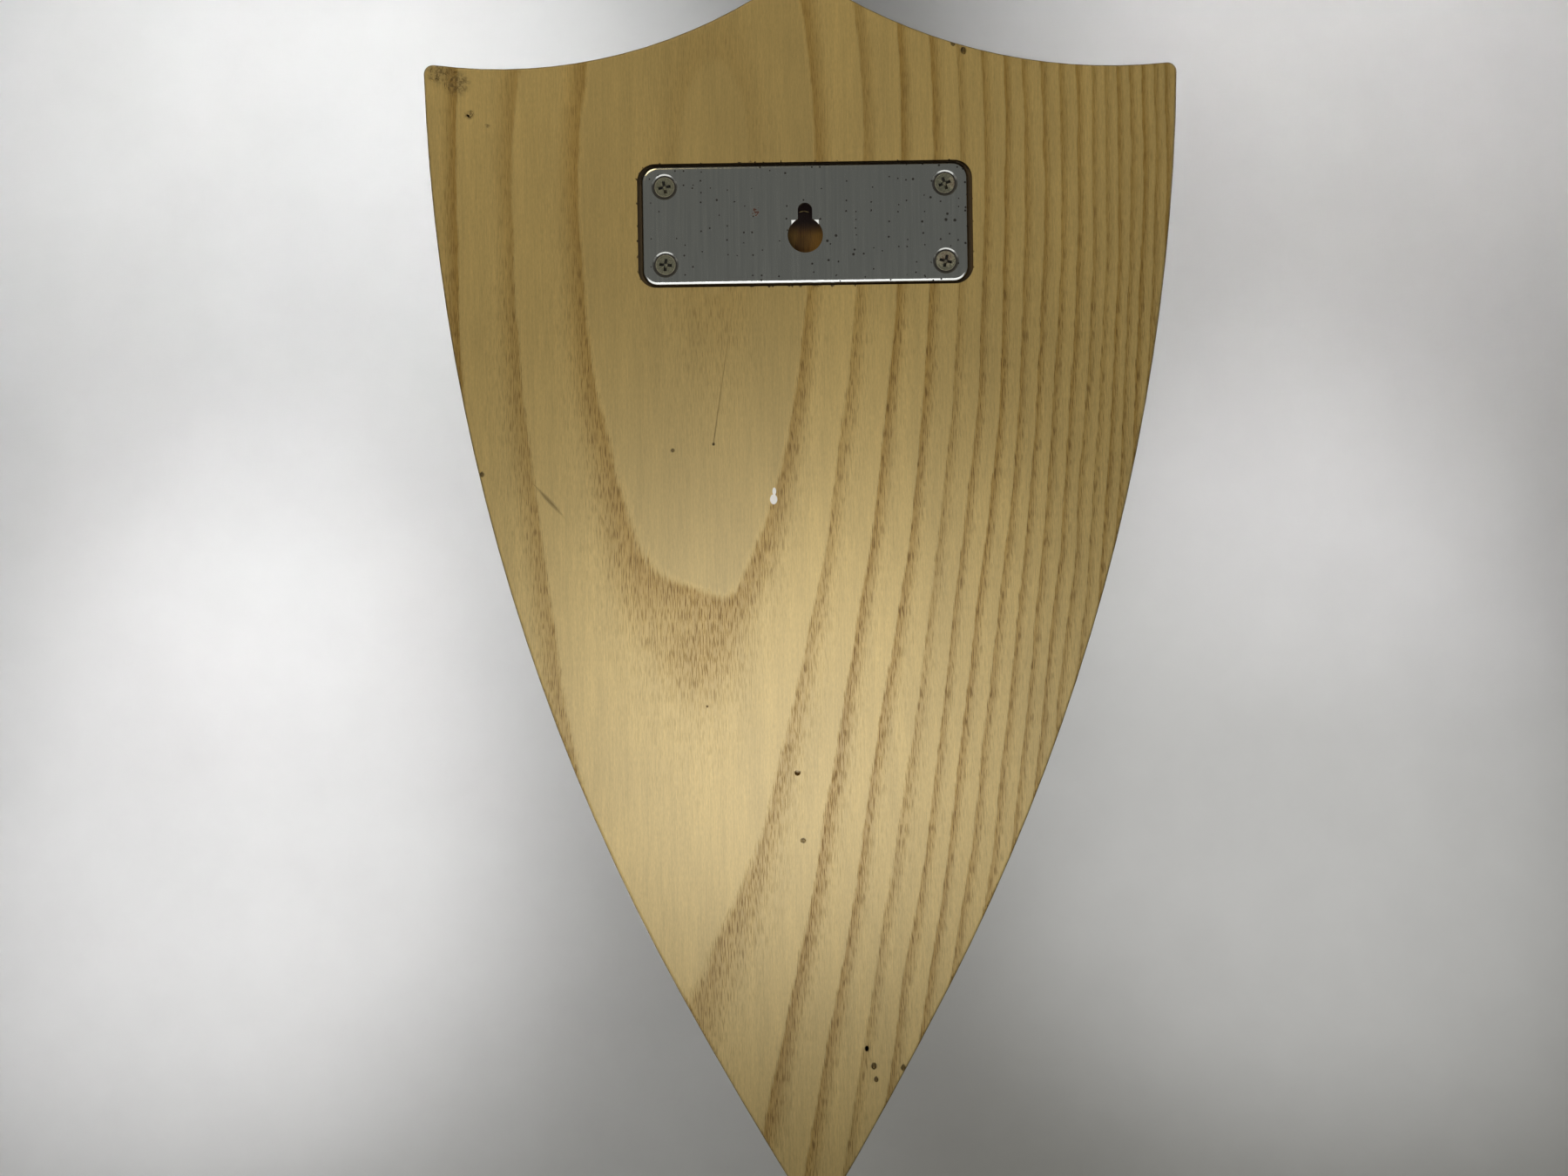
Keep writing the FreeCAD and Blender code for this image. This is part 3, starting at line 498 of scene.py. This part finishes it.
def zinc_material(look, name, rust_centre, rust_reach):
    """Yellow-passivated zinc on a steel screw.

    It is dull and slightly green. The cross is darker with depth, painted shade in the recess with dirt, and
    a dark ring round the head's edge is painted shade of the gap to the countersink, with dirt packed in it.
    The middle of the cross is left bare metal, where the driver has rubbed it. The rust has its own centre
    and reach on each screw.
    """
    material, node = new_material(f"zinc_passivated_{name}")
    point = in_millimetres(node)
    low, high = box_in_mm(name)
    face_y, head_radius = high.y, (high.x - low.x) / 2
    from_axis = node("VectorMath", point, (low + high) / 2, operation="SUBTRACT")
    from_axis = node("VectorMath", from_axis, (1, 0, 1), operation="MULTIPLY")
    from_axis = node("VectorMath", from_axis, operation="LENGTH")
    # Painted shade of the gap between the head and its countersink, with dirt packed in it: a dark ring round
    # the head's edge.
    gap_shade_and_dirt = node("MapRange", from_axis, head_radius - 0.5, head_radius - 0.3, 0, 1)
    worn = node("MapRange", from_axis, 0.35, 0.6, 0.1, 1)
    # The cross darkens with depth: painted shade in the recess, with dirt; its middle is left bare.
    depth = node("Math", face_y, y_of(node, point), operation="SUBTRACT")
    dirt = node("MapRange", depth, 0.1, 0.5, 0, 0.95, interpolation_type="SMOOTHSTEP")
    dirt = node("Math", node("Math", dirt, worn, operation="MULTIPLY"), gap_shade_and_dirt, operation="MAXIMUM")
    grain = node("TexNoise", point, named={"Scale": 3, "Detail": 4, "Roughness": 0.65})
    patch = node("MapRange", grain, 0.4, 0.6, 0.2, 1, interpolation_type="SMOOTHSTEP")
    rust = blot(node, point, rust_centre, (rust_reach, 4, rust_reach), 0.8)
    rust = node("Math", rust, patch, operation="MULTIPLY")
    tone = node("MapRange", grain, 0.35, 0.65, 0.6, 1.1)
    metal = node("VectorMath", look.zinc, tone, operation="SCALE")
    base = node("Mix", rust, metal, look.rust, data_type="RGBA")
    # Near black for the painted shade and dirt in the cross and in the ring round the head.
    base = node("Mix", dirt, base, linear("#1E1A14"), data_type="RGBA")
    covered = node("Math", rust, dirt, operation="MAXIMUM")
    gloss = node("Mix", covered, 0.22, 0.7, data_type="FLOAT")
    bare = node("Math", 1, covered, operation="SUBTRACT")
    bump = node("Bump", named={"Strength": 0.3, "Distance": 0.02 * MM, "Height": grain})
    sockets = {"Base Color": base, "Metallic": bare, "Roughness": gloss, "Normal": bump}
    node("OutputMaterial", node("BsdfPrincipled", named=sockets))
    return material


def brushed_brass_material(look):
    """Brass sheet brushed across and lacquered, with patina left in the engraved line."""
    material, node = new_material("brass_brushed_and_lacquered")
    point = in_millimetres(node)
    brush = node("VectorMath", point, (30, 0.3, 0.3), operation="DIVIDE")
    brush = node("TexNoise", brush, named={"Scale": 1, "Detail": 4, "Roughness": 0.7})
    depth = node("Math", y_of(node, point), BADGE_LOW.y / MM, operation="SUBTRACT")
    line = node("MapRange", depth, 0.08, 0.22, 0, 0.8, interpolation_type="SMOOTHSTEP")
    cloud = node("TexNoise", point, named={"Scale": 0.05, "Detail": 4, "Roughness": 0.6})
    cloud = node("MapRange", cloud, 0.5, 0.8, 0, 0.2, interpolation_type="SMOOTHSTEP")
    patina = node("Math", line, cloud, operation="MAXIMUM")
    tone = node("MapRange", brush, 0.3, 0.7, 0.88, 1.05)
    metal = node("VectorMath", look.brass, tone, operation="SCALE")
    base = node("Mix", patina, metal, look.tarnish, data_type="RGBA")
    gloss = node("MapRange", brush, 0.3, 0.7, 0.3, 0.42)
    bump = node("Bump", named={"Strength": 0.35, "Distance": 0.01 * MM, "Height": brush})
    sockets = {"Base Color": base, "Metallic": 1, "Roughness": gloss, "Normal": bump}
    sockets |= {"Coat Weight": 0.5, "Coat Roughness": 0.12}
    node("OutputMaterial", node("BsdfPrincipled", named=sockets))
    return material


def polished_brass_material(look):
    """Brass pins, polished when new and since dulled by handling."""
    material, node = new_material("brass_polished")
    point = in_millimetres(node)
    wear = node("TexNoise", point, named={"Scale": 2.2, "Detail": 4, "Roughness": 0.6})
    patina = node("MapRange", wear, 0.45, 0.7, 0, 0.5, interpolation_type="SMOOTHSTEP")
    base = node("Mix", patina, look.brass, look.tarnish, data_type="RGBA")
    gloss = node("MapRange", wear, 0.3, 0.7, 0.16, 0.34)
    sockets = {"Base Color": base, "Metallic": 1, "Roughness": gloss}
    node("OutputMaterial", node("BsdfPrincipled", named=sockets))
    return material


def matt_card_material(look):
    """Matt white card, faintly mottled."""
    material, node = new_material("card_matt_white")
    point = in_millimetres(node)
    mottle = node("TexNoise", point, named={"Scale": 0.01, "Detail": 5, "Roughness": 0.6})
    tone = node("MapRange", mottle, 0.3, 0.7, 0.97, 1.03)
    base = node("VectorMath", look.surface, tone, operation="SCALE")
    node("OutputMaterial", node("BsdfPrincipled", named={"Base Color": base, "Roughness": 0.8}))
    return material


# ---------------------------------------------------------------- worn board


RIM_STEPS = 140
WELD = 0.0001 * MM
FLAT = 0.99999  # along the board's thickness, in the normal of a flat face
ROUND = math.radians(35)  # an edge that turns less than this is shaded smooth


def recess_rim(steps):
    """Points evenly turned round the rim of the plate's recess, a rectangle with round corners."""
    half_x = (PLATE_HIGH.x - PLATE_LOW.x) / 2 / MM + RECESS_GAP[0]
    half_z = (PLATE_HIGH.z - PLATE_LOW.z) / 2 / MM + RECESS_GAP[1]
    for step in range(steps):
        across, up = math.cos(step * math.tau / steps), math.sin(step * math.tau / steps)
        scale = min(half_x / max(abs(across), 1e-6), half_z / max(abs(up), 1e-6))
        x, z = across * scale, up * scale
        corner_x = math.copysign(half_x - RECESS_CORNER, x)
        corner_z = math.copysign(half_z - RECESS_CORNER, z)
        corner = Vector((corner_x, 0, corner_z))
        if abs(x) > abs(corner.x) and abs(z) > abs(corner.z):
            out = (Vector((x, 0, z)) - corner).normalized() * RECESS_CORNER
            x, z = corner.x + out.x, corner.z + out.z
        yield PLATE_MIDDLE.x + x, PLATE_MIDDLE.z + z


def add_lump(mesh, x, z, radii, turn=0.0):
    """Add an uneven lump, centred in the plane of the back, to a mesh of cutters. Sizes in millimetres."""
    centre = Vector((x, 0, z)) * MM
    place = Matrix.Translation(centre) @ Matrix.Rotation(turn, 4, "Y") @ Matrix.Diagonal((*radii, 1))
    for vertex in bmesh.ops.create_icosphere(mesh, subdivisions=2, radius=MM)["verts"]:
        unevenness = noise.noise(vertex.co / MM * 1.5 + Vector((x, 0, z)))
        vertex.co = place @ (vertex.co * (1 + 0.3 * unevenness))


def wear_cutters():
    """The lumps that the board's dents, nicks, scratch and chipped recess rim are cut with."""
    chance = random.Random(3)
    mesh = bmesh.new()
    for (x, z), reach in BRUISES:
        for _ in range(round(reach * 2.4)):
            away, around = reach * math.sqrt(chance.random()), chance.uniform(0, math.tau)
            along, deep = chance.uniform(0.4, 0.9), chance.uniform(0.12, 0.3)
            dent_x, dent_z = x + 0.8 * away * math.cos(around), z + 0.8 * away * math.sin(around)
            add_lump(mesh, dent_x, dent_z, (along, deep, 0.3), turn=math.pi / 2 - around)
    for (x, z), radius in DENTS:
        add_lump(mesh, x, z, (radius, radius / 2, radius * 0.8), turn=x)
    for (x, z), radius in NICKS:
        add_lump(mesh, x, z, (radius * 0.8, radius, radius * 1.2))
    x, z = SCRATCH
    add_lump(mesh, x, z, (0.22, 0.12, SCRATCH_HALF_LENGTH), turn=SCRATCH_TURN)
    for x, z in recess_rim(RIM_STEPS):
        ragged = 0.55 if x > PLATE_HIGH.x / MM - 3 else 0.2  # the share that is chipped, most at one end
        if chance.random() < ragged:
            radii = [0.2 + 0.5 * chance.random() ** 2 for _ in range(3)]
            add_lump(mesh, x, z, radii, turn=chance.uniform(0, math.pi))
    data = bpy.data.meshes.new("wear")
    mesh.to_mesh(data)
    mesh.free()
    return data


def edit(data, change):
    """Make a change to a mesh through bmesh."""
    mesh = bmesh.new()
    mesh.from_mesh(data)
    change(mesh)
    mesh.to_mesh(data)
    mesh.free()


def weld(mesh):
    """Merge points that are too close to tell apart."""
    bmesh.ops.remove_doubles(mesh, verts=mesh.verts, dist=WELD)


def crease(mesh):
    """Weld the cuts and shade smooth, but for real corners and the rims of the flat faces."""
    weld(mesh)
    bmesh.ops.delete(mesh, geom=[edge for edge in mesh.edges if edge.is_wire], context="EDGES")
    for face in mesh.faces:
        face.smooth = True
        face.material_index = 0
    for edge in mesh.edges:
        flats = {abs(face.normal.y) > FLAT for face in edge.link_faces}
        edge.smooth = len(flats) == 1 and edge.calc_face_angle(math.pi) < ROUND


def worn_board(context, material):
    """The board with its wear cut in, so that nothing stands outside its CAD shape."""
    board = bpy.data.objects.new("ash_board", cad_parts["shield_board"].data.copy())
    edit(board.data, weld)
    wear = bpy.data.objects.new("wear", wear_cutters())
    for piece in (board, wear):
        context.scene.collection.objects.link(piece)
    cut = board.modifiers.new("wear", "BOOLEAN")
    cut.object = wear
    cut.operation = "DIFFERENCE"
    cut.solver = "EXACT"
    cut.use_self = True
    data = bpy.data.meshes.new_from_object(board.evaluated_get(context.evaluated_depsgraph_get()))
    board.modifiers.remove(cut)
    bpy.data.objects.remove(wear)
    board.data = data
    data.materials.clear()
    data.materials.append(material)
    edit(data, crease)
    return board


def dress(name, material):
    """Give a CAD node its material."""
    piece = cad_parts[name]
    piece.data.materials.clear()
    piece.data.materials.append(material)
    for polygon in piece.data.polygons:
        polygon.material_index = 0


# ---------------------------------------------------------------- operators


class SHIELD_OT_board(bpy.types.Operator):
    """Make the ash board"""

    bl_idname = "shield.board"
    bl_label = "Ash board"

    def execute(self, context):
        board = worn_board(context, ash_material(context.scene.shield_ash))
        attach(board, "root")
        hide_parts("shield_board")
        return {"FINISHED"}


class SHIELD_OT_keyhole_plate(bpy.types.Operator):
    """Finish the keyhole plate in nickel"""

    bl_idname = "shield.keyhole_plate"
    bl_label = "Keyhole plate"

    def execute(self, context):
        dress("keyhole_plate", nickel_material(context.scene.shield_metal))
        return {"FINISHED"}


# Where a screw rusts, across and up from its axis, and how far the rust reaches, in millimetres. On a
# clean screw the spot is too small to see.
RUSTING = {
    "hanger_screw_lower_right": ((0.0, 1.2), 3.6),
    "hanger_screw_upper_right": ((-2.4, 0.0), 2.2),
}
CLEAN = ((0.0, 0.0), 0.01)


class SHIELD_OT_hanger_screws(bpy.types.Operator):
    """Finish the hanger screws in zinc, two of them rusting"""

    bl_idname = "shield.hanger_screws"
    bl_label = "Hanger screws"

    def execute(self, context):
        look = context.scene.shield_metal
        for name in SCREWS:
            low, high = box_in_mm(name)
            (across, up), reach = RUSTING.get(name, CLEAN)
            centre = ((low.x + high.x) / 2 + across, high.y, (low.z + high.z) / 2 + up)
            dress(name, zinc_material(look, name, centre, reach))
        return {"FINISHED"}


class SHIELD_OT_presentation_plate(bpy.types.Operator):
    """Finish the presentation plate in brushed brass"""

    bl_idname = "shield.presentation_plate"
    bl_label = "Presentation plate"

    def execute(self, context):
        dress("presentation_plate", brushed_brass_material(context.scene.shield_metal))
        return {"FINISHED"}


class SHIELD_OT_plate_pins(bpy.types.Operator):
    """Finish the presentation plate's pins in polished brass"""

    bl_idname = "shield.plate_pins"
    bl_label = "Plate pins"

    def execute(self, context):
        brass = polished_brass_material(context.scene.shield_metal)
        for name in PINS:
            dress(name, brass)
        return {"FINISHED"}


def place_light(data, place, aim):
    """Put a light at place, turned to aim, where the camera doesn't see it."""
    light = bpy.data.objects.new(data.name, data)
    light.location = place
    light.rotation_euler = (Vector(aim) - Vector(place)).to_track_quat("-Z", "Y").to_euler()
    light.visible_camera = False
    bpy.context.scene.collection.objects.link(light)
    return light


def soft_light(name, place, aim, width, height, watts, spread=180, tint="#FFFFFF"):
    """A rectangular soft light. spread is its full angle in degrees."""
    data = bpy.data.lights.new(name, "AREA")
    data.color = linear(tint)
    data.shape = "RECTANGLE"
    data.size, data.size_y = width, height
    data.energy = watts
    data.spread = math.radians(spread)
    return place_light(data, place, aim)


def pool_light(name, place, aim, cone, radius, watts):
    """A soft-edged pool of light. cone is its full angle in degrees."""
    data = bpy.data.lights.new(name, "SPOT")
    data.spot_size = math.radians(cone)
    data.spot_blend = 1
    data.shadow_soft_size = radius
    data.energy = watts
    return place_light(data, place, aim)


def shine_only_on(light, name, pieces):
    """Let a light fall on these pieces alone."""
    group = bpy.data.collections.new(name)
    for piece in pieces:
        group.objects.link(piece)
    light.light_linking.receiver_collection = group


# Each pool of light on the backdrop: across, up, its cone in degrees and its share of the power. Its
# light stands half as far across, and this far forward and above it.
POOL_LIGHT_Y = -0.25
POOL_LIGHT_RISE = 0.9
BACKDROP_POOLS = (
    (0.50, -0.32, 30, 1.2),
    (0.50, 0.00, 60, 0.4),
    (-0.44, -0.26, 32, 1.05),
    (0.45, 0.35, 40, 0.65),
    (-0.50, 0.42, 36, 0.9),
)


def build_sweep(look):
    """A pale floor under the shield, curving up into a backdrop beyond its front."""
    floor_z = SHIELD_LOW.z - look.drop
    bend, half_width, near, top = 0.5, 5.0, 3.0, 1.6
    back = SHIELD_LOW.y - look.reach
    profile = [(near, floor_z)]
    steps = 16
    for step in range(steps + 1):
        angle = math.pi / 2 * step / steps
        profile.append((back + bend - bend * math.sin(angle), floor_z + bend - bend * math.cos(angle)))
    profile.append((back, top))
    mesh = bmesh.new()
    rows = [[mesh.verts.new((side * half_width, y, z)) for side in (-1, 1)] for y, z in profile]
    for (a, b), (c, d) in zip(rows, rows[1:]):
        mesh.faces.new((a, b, d, c)).smooth = True
    data = bpy.data.meshes.new("sweep")
    mesh.to_mesh(data)
    mesh.free()
    data.materials.append(matt_card_material(look))
    sweep = bpy.data.objects.new("sweep", data)
    bpy.context.scene.collection.objects.link(sweep)
    return sweep


class SHIELD_OT_studio(bpy.types.Operator):
    """Set up the floor, the backdrop, the soft lights and the camera"""

    bl_idname = "shield.studio"
    bl_label = "Studio"

    def execute(self, context):
        look = context.scene.shield_studio
        sweep = build_sweep(look)
        centre = (SHIELD_LOW + SHIELD_HIGH) / 2
        key_place = (0.03, 0.79, -0.25)
        pool_light("key", key_place, (0.012, 0, -0.147), 15, 0.05, look.key)
        pool_light("halo", key_place, (0.012, 0, -0.105), 21, 0.05, look.halo)
        soft_light("fill", (0.25, 0.5, 0.42), (0, 0, 0.05), 0.3, 0.3, look.fill, spread=90, tint="#FFE7AE")
        glint = soft_light("glint", (0, 0.35, -0.45), (0, 0, 0), 1.2, 0.9, look.glint)
        metal = [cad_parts[name] for name in ("keyhole_plate", *SCREWS)]
        shine_only_on(glint, "metal_on_the_back", metal)
        soft_light("front_left", (-1.0, -0.7, 0.6), centre, 0.6, 0.6, look.front, spread=90)
        soft_light("front_low", (0.6, -1.0, -0.5), centre, 0.8, 0.5, look.front, spread=90)
        floor = soft_light("floor", (0, 1.9, 1.4), (0, 1.95, -0.7), 1.2, 1.2, look.floor, spread=60)
        shine_only_on(floor, "stage", [sweep])
        for number, (across, up, cone, share) in enumerate(BACKDROP_POOLS, 1):
            aim = Vector((across, SHIELD_LOW.y - look.reach, up))
            place = (across / 2, POOL_LIGHT_Y, up + POOL_LIGHT_RISE)
            pool_light(f"backdrop_{number}", place, aim, cone, 0.1, look.backdrop * share)

        # The camera sees a paler room than the one that lights the shield.
        world = bpy.data.worlds.new("studio_grey")
        world.use_nodes = True
        world.node_tree.nodes.clear()
        room = add(world.node_tree, "Background", linear("#6A6B68"), 1)
        seen = add(world.node_tree, "Background", linear("#C4C4C2"), 1)
        camera_ray = add(world.node_tree, "LightPath")
        add(world.node_tree, "OutputWorld", add(world.node_tree, "MixShader", camera_ray, room, seen))
        context.scene.world = world

        data = bpy.data.cameras.new("camera")
        data.lens = look.lens
        camera = bpy.data.objects.new("camera", data)
        away = look.span * look.lens / data.sensor_width
        view_across, view_up = 7.4 * MM, -105.1 * MM
        camera.location = (view_across, SHIELD_HIGH.y + away, view_up)
        facing = Vector((0, -1, 0)).to_track_quat("-Z", "Y").to_matrix().to_4x4()
        camera.rotation_euler = (facing @ Matrix.Rotation(-look.roll, 4, "Z")).to_euler()
        context.scene.collection.objects.link(camera)
        context.scene.camera = camera
        context.scene.view_settings.view_transform = "Standard"
        return {"FINISHED"}


# ---------------------------------------------------------------- panel and start


OPERATORS = (
    SHIELD_OT_board,
    SHIELD_OT_keyhole_plate,
    SHIELD_OT_hanger_screws,
    SHIELD_OT_presentation_plate,
    SHIELD_OT_plate_pins,
    SHIELD_OT_studio,
)
SETTINGS = {"shield_ash": AshSettings, "shield_metal": MetalSettings, "shield_studio": StudioSettings}


class SHIELD_PT_sidebar(bpy.types.Panel):
    """Wall shield tools"""

    bl_idname = "SHIELD_PT_sidebar"
    bl_label = "Wall shield"
    bl_space_type = "VIEW_3D"
    bl_region_type = "UI"
    bl_category = "Wall shield"

    def draw(self, context):
        for name, group in SETTINGS.items():
            box = self.layout.box()
            for setting in group.__annotations__:
                box.prop(getattr(context.scene, name), setting)
        for operator in OPERATORS:
            self.layout.operator(operator.bl_idname)


def register():
    for group in (*SETTINGS.values(), *OPERATORS, SHIELD_PT_sidebar):
        bpy.utils.register_class(group)
    for name, group in SETTINGS.items():
        setattr(bpy.types.Scene, name, PointerProperty(type=group))


def unregister():
    for name in SETTINGS:
        delattr(bpy.types.Scene, name)
    for group in (SHIELD_PT_sidebar, *reversed(OPERATORS), *SETTINGS.values()):
        bpy.utils.unregister_class(group)


def main():
    register()
    for operator in OPERATORS:
        tool = operator.bl_idname.split(".")[1]
        getattr(bpy.ops.shield, tool)()


if __name__ == "__main__":
    main()
